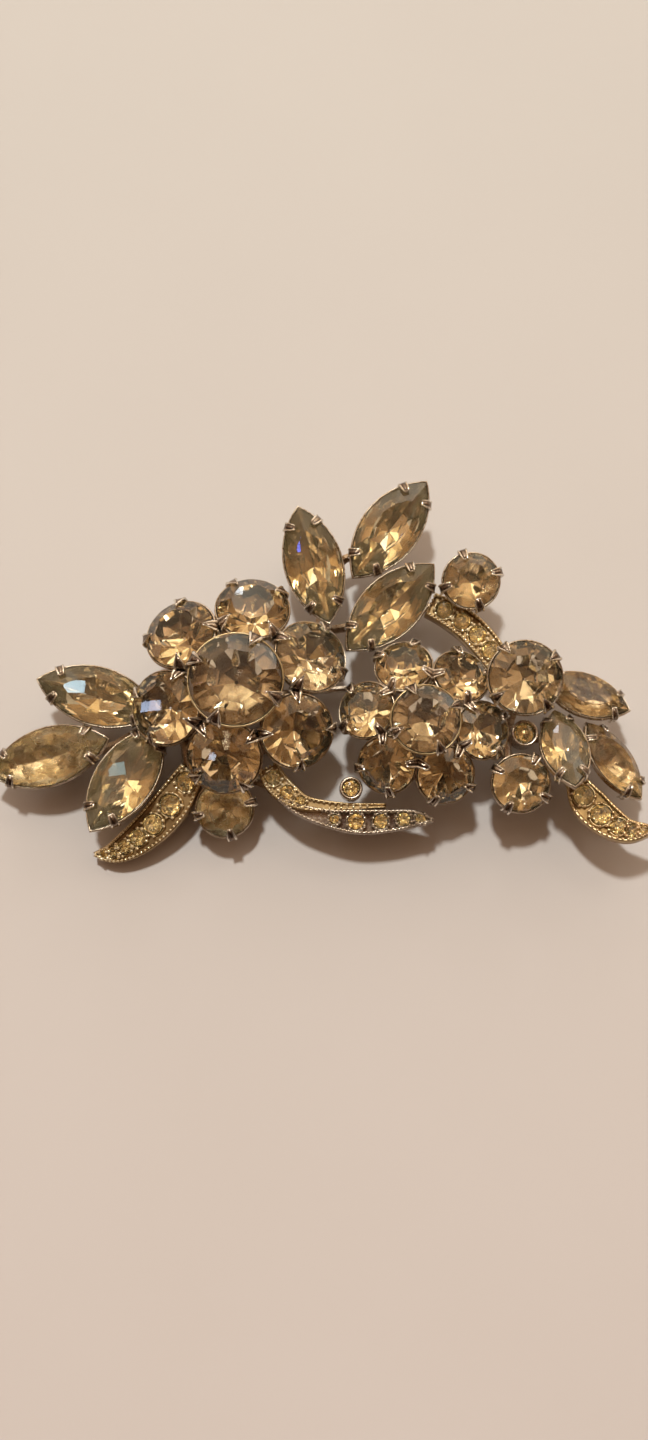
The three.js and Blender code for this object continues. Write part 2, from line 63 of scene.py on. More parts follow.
# The cut. Heights are shares of a stone's width, and reaches are shares of the way out to its edge.
CROWN_SHARE = 0.17
PAVILION_SHARE = 0.38
TABLE_SHARE = 0.56
STAR_MARGIN = 0.035
STAR_TILT = 21
UPPER_FACET_SHARE = 0.72
LOWER_FACET_SHARE = 0.12
LOWER_FACET_DEPTH = 0.97
KEEL_SHARE = 0.04
GIRDLE = 0.2
ROUND_FACETS = 8
NAVETTE_FAN = (0.8, 0.36)
NEAR_SHARE = 0.68
FAR_SHARE = 0.32
BACK_SLOPE = -0.2
STONE_TURN = 15

# The cut of the small stones, as shares of their diameter.
SMALL_TABLE = 0.25
SMALL_CROWN = 0.17
SMALL_GIRDLE = (0.02, -0.04)
SMALL_DEPTH = 0.42

# Cups. A rim's points are (out from its wall, height from the girdle).
SEAT_GAP = 0.06
WALL = 0.24
FLOOR = 0.45
FOOT_SHARE = 0.2
CUP_CHAMFER = (0.1, 0.12)
CUP_OUTER_RIM = [(-0.06, -0.7), (0, -0.5), (-0.02, -0.22), (-0.1, -0.1)]
CUP_INNER_RIM = [(0.06, -0.1), (0, -0.2), (0, -0.4)]
POST_RADII = (1.6, 1.35, 1.3)
POST_FLARE = 0.3
POST_SINK = 0.2

# Claws: their sections are (share of the half width, share of the thickness).
CLAW_THICKNESS = 0.16
CLAW_REACH_SHARE = 0.135
CLAW_ROOT = -1.6
CLAW_GAP = 0.06
NAVETTE_CLAW_PLACE = 0.66
NAVETTE_CLAW_BEND = 0.085
NAVETTE_CLAW_TIP = 0.06
NAVETTE_CLAW_BULGE = 0.08
ROUND_CLAW_BEND = 0.09
ROUND_CLAW_TIP = 0.1
ROUND_CLAW_BULGE = 0.12
SMALL_CLAW = (0.62, 0.36, 0.22)
CLAW_SECTION = [(1, 0), (0.9, 0.75), (0.72, 1), (0.54, 0.3), (-0.54, 0.3), (-0.72, 1), (-0.9, 0.75), (-1, 0),
                (-0.8, -0.9), (0.8, -0.9)]
# SHADE_PAD_SECTION is a thin pad laid in each claw's dish, to carry painted shade there.
SHADE_PAD_SECTION = [(0.56, 0.1), (0.56, 0.42), (-0.56, 0.42), (-0.56, 0.1)]

# Flowers: a heart stone over six petal stones on a cast frame.
PETALS = 6
PETAL_LEAN = 22
FRAME_TOP = 5.4
FRAME_THICKNESS = 1
FRAME_WIDTH = 1.6
FRAME_BEVEL = 0.15
SPOKE_STEP = 0.02
PETAL_POST_RADIUS = 1
PETAL_POST_SINK = 0.1
PETAL_POST_HEIGHT = 0.7
HEART_CLEARANCE = 0.12
LEFT_FLOWER = {"at": (-10.4, 0.7), "ring": 9.4, "first": 20, "petal": MEDIUM_ROUND, "petal_z": 9.5,
               "heart": LARGE_ROUND, "heart_at": (-10.5, 0.2), "heart_z": 13.6, "heart_spin": 20}
RIGHT_FLOWER = {"at": (12.2, -3.9), "ring": 7.2, "first": 50, "petal": SMALL_ROUND, "petal_z": 9,
                "heart": MIDDLE_ROUND, "heart_at": (12.1, -4.4), "heart_z": 12.4, "heart_spin": -21}
PETAL_NAMES = {"left": ["east", "north", "north_west", "west", "south", "south_east"],
               "right": ["north_east", "north", "west", "south_west", "south", "east"]}
PALE_PETAL = ("left", "east")

# Pave bars and collets. Heights are from the top of the rim.
BAR_THICKNESS = 1.9
BAR_RIM = 0.34
RIM_LIMIT = 0.45
BAR_FLOOR = -1.25
BAR_SHELF = -0.34
LOW_SHELF = BAR_FLOOR + 0.02
SHELF_GRID = 0.15
SHELF_CELLS = 26
SHELF_MARGIN = 0.02
SHELF_TUCK = 1.15
SHELF_ROOT = BAR_FLOOR - 0.1
LEAF_STEPS = 60
LENGTH_STEPS = 40
TIP_HALF_WIDTH = 0.2
SEAT_WALL = 0.24
STONE_DROP = 0.04
BEAD = 0.19
BEAD_PITCH = 2.5
BEAD_INSET = 1.4
BEAD_HEIGHT = 0.02
BEADED_HALF_WIDTH = 0.3
ROOT_BEADS_AT = 0.014
GRAIN = 0.26
GRAIN_SPREAD = (0.75, 1.1)
GRAIN_OUT = 0.6
GRAIN_HEIGHT = 0.06
GRAIN_HEADINGS = [side + heading for side in (0, 180) for heading in (38, 66, 114, 142)]
COLLET_WALL = 0.36
COLLET_RIM = 0.3
COLLET_BORE = 1.2

# Paper and camera.
PAPER_SIZE = 3000
PAPER_CELLS = 12
PAPER_DROP = 0.01
PAPER_BLEND = 80
CAMERA_AT = (0, -30.194, 158.042)
CAMERA_TILT = 10
CAMERA_FIELD = 60
CAMERA_CLIP = 5


# ---- Places ----

def place(x, y, z, lean=0, towards=0, spin=0):
    """A frame at a point, its Z leaning by lean towards a heading, and turned by spin about that Z."""
    axis = Vector((-math.sin(math.radians(towards)), math.cos(math.radians(towards)), 0))
    turn = Quaternion(axis, math.radians(lean)) @ Quaternion((0, 0, 1), math.radians(spin))
    return Matrix.Translation((x, y, z)) @ turn.to_matrix().to_4x4()


def layout_origin():
    """Where the layout's origin lies in the row frame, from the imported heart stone."""
    low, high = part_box("left_heart_stone")
    x, y = LEFT_FLOWER["heart_at"]
    return Vector(((low.x + high.x) / 2 - x * MM, (low.y + high.y) / 2 - y * MM, 0))


TO_ROW = Matrix.Translation(layout_origin()) @ Matrix.Scale(MM, 4)


def circle(radius, count):
    """Points spread evenly round a circle."""
    angles = [2 * math.pi * i / count for i in range(count)]
    return [(radius * math.cos(angle), radius * math.sin(angle)) for angle in angles]


def ring(matrix, radius, z, count):
    """A circle about a frame's Z, at height z."""
    return [matrix @ Vector((x, y, z)) for x, y in circle(radius, count)]


def finish_piece(name, bm, materials, smooth=True):
    """The mesh made of bm, in the row frame, as a piece that rides on the brooch."""
    bm.transform(TO_ROW)
    mesh = bpy.data.meshes.new(name)
    bm.to_mesh(mesh)
    bm.free()
    for material in materials:
        mesh.materials.append(material)
    for polygon in mesh.polygons:
        polygon.use_smooth = smooth
    piece = bpy.data.objects.new(name, mesh)
    bpy.context.scene.collection.objects.link(piece)
    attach(piece, "brooch")
    return piece


# ---- Outlines ----

class Round:
    """A round stone's outline. claws are the places and headings of its claws, in radians."""

    def __init__(self, diameter):
        self.width = diameter
        self.radius = diameter / 2
        headings = [math.radians(degrees) for degrees in (45, 135, 225, 315)]
        self.claws = [(self.point_at(heading, 0), heading) for heading in headings]

    def point_at(self, angle, out):
        """The point at a heading, out from the edge."""
        radius = self.radius + out
        return Vector((radius * math.cos(angle), radius * math.sin(angle)))

    def points(self, out, count=48):
        """The outline, moved out by a distance."""
        return [self.point_at(2 * math.pi * i / count, out) for i in range(count)]

    def support(self, angle):
        """How far the outline reaches towards a heading."""
        return self.radius


class Navette:
    """A navette's outline: two arcs that meet at the tips. It has a claw near both ends of each arc."""

    def __init__(self, length, width):
        self.width = width
        self.length = length
        self.arc = (length ** 2 + width ** 2) / (4 * width)
        self.offset = self.arc - width / 2
        self.half = math.acos(self.offset / self.arc)
        self.claws = []
        for sign in (1, -1):
            for share in (NAVETTE_CLAW_PLACE, -NAVETTE_CLAW_PLACE):
                turn = self.half * share
                x = sign * self.arc * math.sin(turn)
                y = sign * (self.arc * math.cos(turn) - self.offset)
                heading = math.atan2(sign * math.cos(turn), sign * math.sin(turn))
                self.claws.append((Vector((x, y)), heading))

    def points(self, out, count=48):
        """The outline, moved out by a distance."""
        radius = self.arc + out
        half = math.acos(self.offset / radius)
        side = count // 2
        points = []
        for sign in (1, -1):
            for i in range(side):
                turn = half - 2 * half * i / side
                x = sign * radius * math.sin(turn)
                y = sign * (radius * math.cos(turn) - self.offset)
                points.append(Vector((x, y)))
        return points

    def support(self, angle):
        """How far the outline reaches towards a heading."""
        from_side = abs(math.pi / 2 - abs(math.remainder(angle, 2 * math.pi)))
        if from_side <= self.half:
            return self.arc - self.offset * math.cos(from_side)
        return self.length / 2 * abs(math.cos(angle))


# ---- Stones ----

def cut(bm, point, normal):
    """Slices off the side of a convex solid that normal points to."""
    everything = bm.verts[:] + bm.edges[:] + bm.faces[:]
    done = bmesh.ops.bisect_plane(bm, geom=everything, dist=1e-5, plane_co=point, plane_no=normal,
                                  clear_outer=True)
    rim = [e for e in done["geom_cut"] if isinstance(e, bmesh.types.BMEdge)]
    if len(rim) > 2:
        bmesh.ops.edgeloop_fill(bm, edges=rim)


def facet(bm, outline, angle, z, inner, inner_z):
    """A facet through the outline's edge at height z and a point inner from the middle at height inner_z."""
    outward = Vector((math.cos(angle), math.sin(angle), 0))
    edge = outline.support(angle)
    run = edge - inner
    rise = inner_z - z
    normal = outward * abs(rise) + Vector((0, 0, 1 if rise > 0 else -1)) * run
    cut(bm, outward * edge + Vector((0, 0, z)), normal.normalized())


def star_facet(bm, outline, angle, crown):
    """A small shallow facet at the table's edge."""
    outward = Vector((math.cos(angle), math.sin(angle), 0))
    tilt = math.radians(STAR_TILT)
    reach = outward * outline.support(angle) * (TABLE_SHARE + STAR_MARGIN)
    cut(bm, reach + Vector((0, 0, crown)), outward * math.sin(tilt) + Vector((0, 0, math.cos(tilt))))


def stone_blank(outline, crown, depth):
    """The upright prism that a stone is cut from."""
    bm = bmesh.new()
    top = [bm.verts.new((p.x, p.y, crown)) for p in outline.points(0, 40)]
    bottom = [bm.verts.new((p.x, p.y, -depth)) for p in outline.points(0, 40)]
    bm.faces.new(top)
    bm.faces.new(list(reversed(bottom)))
    for i in range(len(top)):
        j = (i + 1) % len(top)
        bm.faces.new((top[i], bottom[i], bottom[j], top[j]))
    return bm


def stone_mesh(outline, angles):
    """A faceted stone with its girdle at Z 0. angles are the headings of its main facets."""
    crown = CROWN_SHARE * outline.width
    depth = PAVILION_SHARE * outline.width
    bm = stone_blank(outline, crown, depth)
    count = len(angles)
    for i, angle in enumerate(angles):
        following = angles[(i + 1) % count] + (2 * math.pi if i == count - 1 else 0)
        near = angle * NEAR_SHARE + following * FAR_SHARE
        far = angle * FAR_SHARE + following * NEAR_SHARE
        hold = outline.support(angle)
        facet(bm, outline, angle, GIRDLE / 2, TABLE_SHARE * hold, crown)
        for heading in (near, far):
            support = outline.support(heading)
            facet(bm, outline, heading, GIRDLE / 2, UPPER_FACET_SHARE * support, crown)
            facet(bm, outline, heading, -GIRDLE / 2, LOWER_FACET_SHARE * support, -depth * LOWER_FACET_DEPTH)
        star_facet(bm, outline, (angle + following) / 2, crown)
        facet(bm, outline, angle, -GIRDLE / 2, KEEL_SHARE * hold, -depth)
    bmesh.ops.remove_doubles(bm, verts=bm.verts, dist=1e-4)
    bmesh.ops.recalc_face_normals(bm, faces=bm.faces)
    for face in bm.faces:
        face.material_index = 1 if face.normal.z < BACK_SLOPE else 0
    return bm


def main_angles(outline):
    """Evenly spread on a round stone; fanned along the sides of a navette."""
    if isinstance(outline, Round):
        return [2 * math.pi * i / ROUND_FACETS for i in range(ROUND_FACETS)]
    spread = math.degrees(outline.half)
    quarter = [0] + [90 - spread * share for share in NAVETTE_FAN]
    half = quarter + [90] + [180 - a for a in reversed(quarter[1:])]
    return [math.radians(a) for a in half + [180 + a for a in half]]


def small_stone_mesh(diameter, sides=8):
    """A small stone: a table, one row of crown facets, a thin girdle and a plain pavilion."""
    bm = bmesh.new()
    upper_z, lower_z = SMALL_GIRDLE
    rings = [(SMALL_TABLE, SMALL_CROWN, 0.5), (0.5, upper_z, 0), (0.5, lower_z, 0)]
    loops = []
    for reach, height, turn in rings:
        angles = [2 * math.pi * (i + turn) / sides for i in range(sides)]
        radius, z = reach * diameter, height * diameter
        loops.append([bm.verts.new((radius * math.cos(a), radius * math.sin(a), z)) for a in angles])
    tip = bm.verts.new((0, 0, -SMALL_DEPTH * diameter))
    table, upper, lower = loops
    bm.faces.new(table)
    for i in range(sides):
        j = (i + 1) % sides
        bm.faces.new((table[i], upper[i], upper[j]))
        bm.faces.new((table[i], upper[j], table[j]))
        bm.faces.new((upper[i], lower[i], lower[j], upper[j]))
        bm.faces.new((lower[i], tip, lower[j])).material_index = 1
    bmesh.ops.recalc_face_normals(bm, faces=bm.faces)
    return bm


# ---- Settings ----

def add_rings(bm, rings, close_ends=True):
    """Skins a chain of closed loops of points."""
    loops = [[bm.verts.new(p) for p in points] for points in rings]
    count = len(loops[0])
    for below, above in zip(loops, loops[1:]):
        for i in range(count):
            j = (i + 1) % count
            bm.faces.new((below[i], below[j], above[j], above[i]))
    if close_ends:
        bm.faces.new(list(reversed(loops[0])))
        bm.faces.new(loops[-1])


def mark_new_faces(bm, number):
    """Gives material number to every face made since the last call."""
    for face in bm.faces:
        if not face.tag:
            face.material_index = number
            face.tag = True


def cup_depth(outline):
    """How far a stone's cup reaches below its girdle."""
    return outline.width * PAVILION_SHARE + FLOOR


def add_cup(bm, outline, matrix, foot=0):
    """The tapered metal cup round a stone, with a rolled rim, on a foot of the given length."""
    depth = cup_depth(outline)
    narrow = -outline.width * (0.5 - FOOT_SHARE)
    outside = SEAT_GAP + WALL
    chamfer, chamfer_height = CUP_CHAMFER
    steps = [(narrow + WALL - chamfer, -depth), (narrow + WALL, -depth + chamfer_height)]
    steps += [(outside + out, z) for out, z in CUP_OUTER_RIM]
    steps += [(SEAT_GAP + out, z) for out, z in CUP_INNER_RIM]
    steps.append((narrow - WALL, -depth + FLOOR))
    add_rings(bm, [[matrix @ Vector((p.x, p.y, z)) for p in outline.points(out)] for out, z in steps])
    if foot:
        heights = (-depth - foot, -depth - foot + POST_FLARE, -depth + POST_SINK)
        add_rings(bm, [ring(matrix, radius, z, 24) for radius, z in zip(POST_RADII, heights)])


def claw_path(outline, wide, tip, bulge):
    """A claw's course up the cup's wall and over the crown, as (out, height, half width, thickness)."""
    slope = CROWN_SHARE / (0.5 - TABLE_SHARE / 2)
    reach = CLAW_REACH_SHARE * outline.width
    top = GIRDLE / 2 + slope * reach + CLAW_GAP
    back = SEAT_GAP + WALL
    thin = CLAW_THICKNESS * 0.9
    return [(back - 0.15, CLAW_ROOT, wide * 0.7, 0.08),
            (back + bulge / 2, -1.2, wide * 0.85, 0.14),
            (back + 0.06 + bulge, -0.4, wide, CLAW_THICKNESS),
            (back + 0.02 + bulge, 0.15, wide, CLAW_THICKNESS),
            (back - 0.18 + bulge / 2, 0.42, wide * 0.96, CLAW_THICKNESS),
            (-reach * 0.3, top * 0.6 + 0.18, (wide + tip) / 2, thin),
            (-reach * 0.8, top + 0.12, tip, thin),
            (-reach, top + 0.05, tip * 0.7, 0.1)]


def add_claw(bm, outline, at, angle, matrix, wide, tip, bulge):
    """A dished claw bent over the crown, with a dark pad of painted shade in its dish; wide and tip are its
    half widths at the bend and at the end.
    """
    path = claw_path(outline, wide, tip, bulge)
    local = matrix @ Matrix.Translation((at.x, at.y, 0)) @ Matrix.Rotation(angle, 4, "Z")
    # The second body is the dark pad in the dish: painted shade.
    for number, section in ((1, CLAW_SECTION), (2, SHADE_PAD_SECTION)):
        rings = []
        for i, (r, z, half, thick) in enumerate(path):
            before, after = path[max(i - 1, 0)], path[min(i + 1, len(path) - 1)]
            along = Vector((after[0] - before[0], 0, after[1] - before[1])).normalized()
            out = Vector((along.z, 0, -along.x))
            rings.append([local @ (Vector((r, across * half, z)) + out * thick * height)
                          for across, height in section])
        add_rings(bm, rings if number == 1 else rings[2:-1])
        mark_new_faces(bm, number)


def claw_size(outline):
    """Half widths of a claw at its bend and its tip, and how far it bulges: pointed on the big stones."""
    if isinstance(outline, Navette):
        return NAVETTE_CLAW_BEND * outline.width, NAVETTE_CLAW_TIP * outline.width, NAVETTE_CLAW_BULGE
    if outline.width > SMALL_ROUND:
        return ROUND_CLAW_BEND * outline.width, ROUND_CLAW_TIP, ROUND_CLAW_BULGE
    return SMALL_CLAW


def add_setting(bm, outline, matrix, foot=0, skip=None):
    """A cup in the first material, its claws in the second, and the pads of painted shade in their dishes in
    the third.
    """
    add_cup(bm, outline, matrix, foot)
    mark_new_faces(bm, 0)
    for i, (at, angle) in enumerate(outline.claws):
        if i != skip:
            add_claw(bm, outline, at, angle, matrix, *claw_size(outline))


# ---- Materials ----

NOISE_RANGE = (0.3, 0.7)
TONE_STOPS = (0.35, 0.65)


def shader(name, **sockets):
    """A new material with values set on its Principled node. Returns it with its tree and that node."""
    material = bpy.data.materials.new(name)
    material.use_nodes = True
    tree = material.node_tree
    principled = tree.nodes["Principled BSDF"]
    for socket, value in sockets.items():
        principled.inputs[socket.replace("_", " ")].default_value = value
    return material, tree, principled


def textured(tree, kind, scale):
    """A texture node over the surface, at scale features per millimetre."""
    node = tree.nodes.new(kind)
    node.inputs["Scale"].default_value = scale / MM
    tree.links.new(tree.nodes.new("ShaderNodeTexCoord").outputs["Object"], node.inputs["Vector"])
    return node


def noise(tree, scale, detail=3, roughness=0.5):
    """Smooth noise over the surface."""
    node = textured(tree, "ShaderNodeTexNoise", scale)
    node.inputs["Detail"].default_value = detail
    node.inputs["Roughness"].default_value = roughness
    return node.outputs["Fac"]


def cells(tree, scale):
    """The distance from the middle of each of many small cells over the surface."""
    return textured(tree, "ShaderNodeTexVoronoi", scale).outputs["Distance"]


def ramp(tree, factor, stops):
    """A colour ramp over factor; stops are (position, colour)."""
    node = tree.nodes.new("ShaderNodeValToRGB")
    elements = node.color_ramp.elements
    while len(elements) < len(stops):
        elements.new(0.5)
    for element, (position, colour) in zip(elements, stops):
        element.position = position
        element.color = (*colour, 1)
    tree.links.new(factor, node.inputs["Fac"])
    return node.outputs["Color"]


def stretch(tree, value, low, high, to_low=0, to_high=1):
    """value, with low to high stretched over to_low to to_high."""
    node = tree.nodes.new("ShaderNodeMapRange")
    node.inputs["From Min"].default_value = low
    node.inputs["From Max"].default_value = high
    node.inputs["To Min"].default_value = to_low
    node.inputs["To Max"].default_value = to_high
    tree.links.new(value, node.inputs["Value"])
    return node.outputs["Result"]


def tones(tree, factor, first, second, stops=TONE_STOPS):
    """Two tones that cloud into each other."""
    return ramp(tree, factor, list(zip(stops, (first, second))))


def set_roughness(tree, principled, factor, low, high):
    """A roughness that wanders from low to high with a noise."""
    tree.links.new(stretch(tree, factor, *NOISE_RANGE, low, high), principled.inputs["Roughness"])


def bump(tree, principled, height, distance, strength):
    """Raises the surface by a distance where height is 1."""
    node = tree.nodes.new("ShaderNodeBump")
    node.inputs["Strength"].default_value = strength
    node.inputs["Distance"].default_value = distance * MM
    tree.links.new(height, node.inputs["Height"])
    tree.links.new(node.outputs["Normal"], principled.inputs["Normal"])


def metal(name, dark, light, low=0.12, high=0.3, metallic=1.0):
    """Plated metal: two tones clouded together, fine scratches and a rubbed roughness from low to high."""
    material, tree, principled = shader(name, Metallic=metallic)
    tree.links.new(tones(tree, noise(tree, 0.35, 4), dark, light), principled.inputs["Base Color"])
    set_roughness(tree, principled, noise(tree, 2.2, 5), low, high)
    bump(tree, principled, noise(tree, 3.5, 6, 0.7), 0.02, 0.5)
    return material


def crown_glass(name, pale, deep, low=0.0, high=0.03, ior=1.52):
    """The see-through front of a stone, a little cloudier where it is rubbed."""
    material, tree, principled = shader(name, Transmission_Weight=1.0, IOR=ior)
    tree.links.new(tones(tree, noise(tree, 0.12, 2), pale, deep), principled.inputs["Base Color"])
    set_roughness(tree, principled, noise(tree, 0.9, 4), low, high)
    return material


def foil(name, pale, deep, low, high, metallic, crumple=0):
    """The foiled back of a stone, partly gone to lacquer where metallic is low.

    crumple gives the cells per millimetre of a foil that has crumpled; 0 leaves it gently uneven.
    """
    material, tree, principled = shader(name, Metallic=metallic)
    tree.links.new(tones(tree, noise(tree, 0.3, 3), pale, deep), principled.inputs["Base Color"])
    set_roughness(tree, principled, noise(tree, 1.1, 4), low, high)
    if crumple:
        bump(tree, principled, cells(tree, crumple), 0.25 / crumple, 0.8)
    else:
        bump(tree, principled, noise(tree, 0.6, 3), 0.02, 0.4)
    return material


def paper(name):
    """Pale warm paper with a faint tooth, a little yellower towards its far side and a little darker towards
    its near side, as painted falloff of the light.
    """
    material, tree, principled = shader(name, Roughness=0.85)
    # The near tones are a touch darker than the far ones: painted shade for the light falling off towards
    # the near side.
    near = tones(tree, noise(tree, 0.02, 4), (0.600, 0.553, 0.550), (0.615, 0.568, 0.570), NOISE_RANGE)
    far = tones(tree, noise(tree, 0.02, 4), (0.590, 0.566, 0.556), (0.605, 0.581, 0.570), NOISE_RANGE)
    parts = tree.nodes.new("ShaderNodeSeparateXYZ")
    tree.links.new(tree.nodes.new("ShaderNodeTexCoord").outputs["Object"], parts.inputs["Vector"])
    mixed = tree.nodes.new("ShaderNodeMixRGB")
    across = stretch(tree, parts.outputs["Y"], -PAPER_BLEND * MM, PAPER_BLEND * MM)
    tree.links.new(across, mixed.inputs["Fac"])
    tree.links.new(near, mixed.inputs["Color1"])
    tree.links.new(far, mixed.inputs["Color2"])
    tree.links.new(mixed.outputs["Color"], principled.inputs["Base Color"])
    bump(tree, principled, noise(tree, 1.5, 6, 0.7), 0.02, 0.25)
    return material


# Metals: the dark and the light tone, the roughness from low to high, and how metallic it is.
PLATE = metal("plate", (0.31, 0.22, 0.14), (0.60, 0.50, 0.39), 0.2, 0.38)
# The claw metal is the cups' plating made much paler: painted highlight for the bright glints on the claws.
CLAW = metal("claw", (0.58, 0.49, 0.38), (0.90, 0.84, 0.75), 0.08, 0.2, 0.88)
# HOLLOW_SHADE is painted shade: a dark metal for the pads in the claws' dishes and for the silver leaf's
# deep channel.
HOLLOW_SHADE = metal("hollow_shade", (0.13, 0.09, 0.07), (0.34, 0.27, 0.21), 0.16, 0.32)
BRONZE = metal("bar_bronze", (0.34, 0.235, 0.115), (0.56, 0.41, 0.23), 0.24, 0.4)
CHANNEL = metal("bar_channel", (0.24, 0.155, 0.07), (0.42, 0.285, 0.14), 0.42, 0.6, 0.85)
BROWN_CHANNEL = metal("brown_channel", (0.20, 0.12, 0.045), (0.34, 0.21, 0.085), 0.5, 0.65, 0.85)
# The grain metals are paler and less metallic than the castings they sit on: painted highlight, so that each
# bead reads as a bright dot.
GRAINS = metal("grain_gold", (0.82, 0.64, 0.38), (1.0, 0.88, 0.62), 0.08, 0.2, 0.6)
COPPER_GRAINS = metal("grain_copper", (0.58, 0.39, 0.20), (0.80, 0.60, 0.37), 0.08, 0.2, 0.7)
SILVER_GRAINS = metal("grain_silver", (0.44, 0.36, 0.28), (0.72, 0.63, 0.52), 0.08, 0.2, 0.75)
SILVER = metal("bar_silver", (0.30, 0.23, 0.17), (0.56, 0.48, 0.40), 0.16, 0.36)
STEEL = metal("pin_wire", (0.55, 0.51, 0.46), (0.74, 0.70, 0.66))

# Glasses, and foils with the same order of values as the metals.
ROUND_GLASS = crown_glass("round_glass", (0.99, 0.965, 0.91), (0.97, 0.925, 0.85))
LEAF_GLASS = crown_glass("leaf_glass", (0.99, 0.965, 0.89), (0.97, 0.92, 0.80))
WORN_GLASS = crown_glass("worn_glass", (0.99, 0.95, 0.86), (0.96, 0.90, 0.77), 0.02, 0.10, 1.4)
MELEE_GLASS = crown_glass("melee_glass", (0.99, 0.97, 0.90), (0.98, 0.95, 0.84))
ROUND_FOIL = foil("round_foil", (0.92, 0.84, 0.665), (0.77, 0.69, 0.52), 0.02, 0.07, 0.96)
PALE_FOIL = foil("pale_foil", (0.98, 0.94, 0.81), (0.85, 0.80, 0.66), 0.02, 0.07, 0.96)
SATIN_FOIL = foil("satin_foil", (0.99, 0.92, 0.73), (0.91, 0.83, 0.64), 0.05, 0.11, 0.95)
HEART_FOIL = foil("heart_foil", (0.97, 0.93, 0.79), (0.50, 0.44, 0.35), 0.02, 0.06, 0.97)
LEAF_FOIL = foil("leaf_foil", (0.93, 0.83, 0.62), (0.77, 0.66, 0.46), 0.02, 0.08, 0.86)
WORN_FOIL = foil("worn_foil", (0.90, 0.80, 0.58), (0.72, 0.61, 0.42), 0.18, 0.32, 0.9, 0.5)
DULL_FOIL = foil("dull_foil", (0.77, 0.64, 0.43), (0.55, 0.44, 0.29), 0.12, 0.26, 0.92, 0.6)
MELEE_FOIL = foil("melee_foil", (1.0, 0.93, 0.68), (0.95, 0.81, 0.52), 0.03, 0.12, 0.88, 1.1)
PAPER = paper("paper")

# Looks of stones: the glass in front and the foil behind it.
CLEAR_ROUND = (ROUND_GLASS, ROUND_FOIL)
PALE_ROUND = (ROUND_GLASS, PALE_FOIL)
SATIN_ROUND = (ROUND_GLASS, SATIN_FOIL)
HEART = (ROUND_GLASS, HEART_FOIL)
CLEAR_LEAF = (LEAF_GLASS, LEAF_FOIL)
WORN = (WORN_GLASS, WORN_FOIL)
DULL = (WORN_GLASS, DULL_FOIL)
MELEE = (MELEE_GLASS, MELEE_FOIL)


# ---- Stones in their settings ----

def set_stone(node, bm, look):
    """A stone in place of its CAD node."""
    piece = finish_piece("cut_" + node, bm, look, smooth=False)
    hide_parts(node)


def set_cut_stone(node, outline, matrix, look):
    """A faceted stone in place of its CAD node."""
    bm = stone_mesh(outline, main_angles(outline))
    bm.transform(matrix)
    set_stone(node, bm, look)


def set_metal(node, bm, materials):
    """A metal piece in place of its CAD node."""
    bmesh.ops.recalc_face_normals(bm, faces=bm.faces)
    piece = finish_piece("fine_" + node, bm, materials)
    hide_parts(node)


def set_pair(name, outline, matrix, look, turn=0, foot=0, skip=None, plate=PLATE):
    """A stone, turned by turn in its setting, and the setting."""
    turned = matrix @ Matrix.Rotation(math.radians(turn), 4, "Z")
    set_cut_stone(name + "_stone", outline, turned, look)
    bm = bmesh.new()
    add_setting(bm, outline, matrix, foot, skip)
    set_metal(name + "_setting", bm, (plate, CLAW, HOLLOW_SHADE))


# Navettes: size, look and place.
NAVETTES = {
    "upper_left_leaf": (LARGE_NAVETTE, CLEAR_LEAF, place(-28.1, -0.4, 6.2, 6, 345, 165)),
    "outer_left_leaf": (LARGE_NAVETTE, WORN, place(-34, -7.9, 5.8, 4, 196, 196)),
    "lower_left_leaf": (LARGE_NAVETTE, CLEAR_LEAF, place(-24.4, -10.6, 6.2, 6, 59, 239)),
    "upper_leaf": (LARGE_NAVETTE, CLEAR_LEAF, place(-1.3, 16.2, 7.3, 5, 270, 105)),
    "outer_upper_leaf": (LARGE_NAVETTE, CLEAR_LEAF, place(8.3, 20.6, 8, 8, 300, 53)),
    "lower_upper_leaf": (LARGE_NAVETTE, CLEAR_LEAF, place(8.3, 10.7, 7.5, 6, 300, 45)),
    "upper_right_leaf": (SMALL_NAVETTE, DULL, place(32.5, -0.2, 6.4, 14, 70, -20)),
    "middle_right_leaf": (SMALL_NAVETTE, CLEAR_LEAF, place(29.3, -7.1, 8.2, 26, 95, -83)),
    "lower_right_leaf": (SMALL_NAVETTE, DULL, place(35.8, -8.4, 5.9, 26, 30, -55)),
}

# Single round stones: diameter, look, place and the number of a claw left off where a stone is in its way.
ROUNDS = {
    "lower_left_round": (SMALL_ROUND, WORN, place(-12.2, -14.3, 5.2, 10, 270, -31), 1),
    "upper_right_round": (SMALL_ROUND, SATIN_ROUND, place(18.3, 13.8, 8.4, 6, 240, -29), None),
    "large_right_round": (MEDIUM_ROUND, PALE_ROUND, place(24.4, 1.1, 10.3, 4, 270, -10), None),
    "lower_right_round": (SMALL_ROUND, SATIN_ROUND, place(23.9, -11.5, 7.8, 8, 270, 15), None),
}

# Collets: stone diameter, height and place.
COLLETS = {
    "lower_collet": (2, 2.6, place(3.3, -12, 6.9)),
    "right_collet": (2.5, 3, place(24.65, -5.2, 6.9)),
}


def build_navettes():
    """The long stones and their settings."""
    for name, (size, look, matrix) in NAVETTES.items():
        set_pair(name, Navette(*size), matrix, look)


def build_rounds():
    """The single round stones and their settings."""
    for name, (diameter, look, matrix, missing_claw) in ROUNDS.items():
        set_pair(name, Round(diameter), matrix, look, STONE_TURN, skip=missing_claw)


